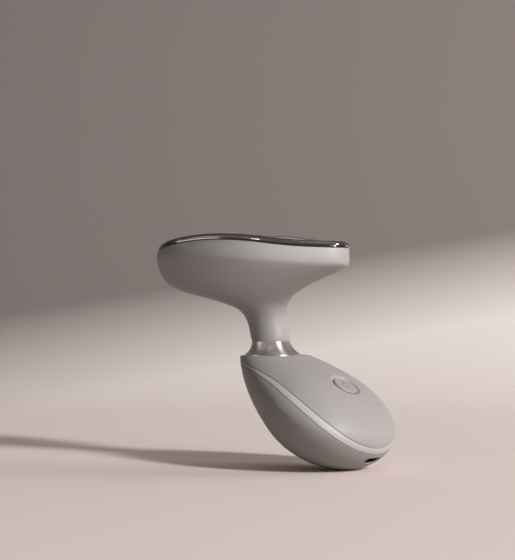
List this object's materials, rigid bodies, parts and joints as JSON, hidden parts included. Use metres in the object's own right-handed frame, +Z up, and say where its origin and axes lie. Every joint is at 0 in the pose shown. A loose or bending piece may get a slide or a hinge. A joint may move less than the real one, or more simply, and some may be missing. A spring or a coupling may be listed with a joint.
{
  "type": "light therapy face device",
  "caption": "Hand-held light therapy face device: tilted egg handle with power button and charging inlet, flared collar, slim neck and a long polished treatment head with a light window.",
  "frame": {"origin": "palm centre of the handle: the centre of the egg's big end, in the mirror plane", "axes": "+X along the head towards the charging end, +Z up as the device is pictured, +Y completes the frame across the mirror plane"},
  "size_m": [0.1094, 0.0574, 0.0916],
  "materials": {
    "body": "satin",
    "trim": "satin",
    "button": "satin",
    "black_plastic": "matt",
    "steel": "satin",
    "brass": "satin",
    "cell": "matt",
    "foam": "matt",
    "lead": "satin",
    "board": "satin",
    "header": "matt",
    "collar": "polished",
    "plate": "mirror",
    "window": "frosted",
    "light_board": "satin",
    "lamp": "gloss",
    "saddle": "matt"
  },
  "bodies": {
    "housing": {"upper_cover": "body", "trim_band": "trim", "lower_shell": "body", "tact_switch": "steel", "inner_frame": "black_plastic", "frame_screws": "steel", "battery": "cell", "battery_pad": "foam", "battery_leads": "lead", "main_board": "board", "board_screws": "steel", "wire_header": "header", "board_components": "black_plastic", "usb_socket": "steel", "usb_tongue": "black_plastic", "charge_board": "board", "charge_screws": "steel", "charge_leads": "lead", "neck_collar": "collar", "neck_stem": "steel", "neck_nut": "brass", "head_shell": "body", "plate_gasket": "foam", "treatment_plate": "plate", "led_window": "window", "led_board": "light_board", "leds": "lamp", "led_board_screws": "steel", "vibration_motor": "steel", "motor_saddle": "saddle", "head_harness": "lead"},
    "button": {"power_button": "button", "switch_plunger": "black_plastic"},
    "rotor": {"motor_shaft": "steel", "eccentric_weight": "brass"}
  },
  "joints": [
    {"name": "button_press", "type": "slide", "parent": "housing", "child": "button", "axis": [-0.5358, 0, -0.8443], "range_m": [0, 0.0005], "stiffness_N_per_m": 3000, "springref_m": -0.0003},
    {"name": "rotor_spin", "type": "hinge", "parent": "housing", "child": "rotor", "pos_m": [-0.0495, 0, 0.0514], "axis": [1, 0, 0], "continuous": true}
  ]
}
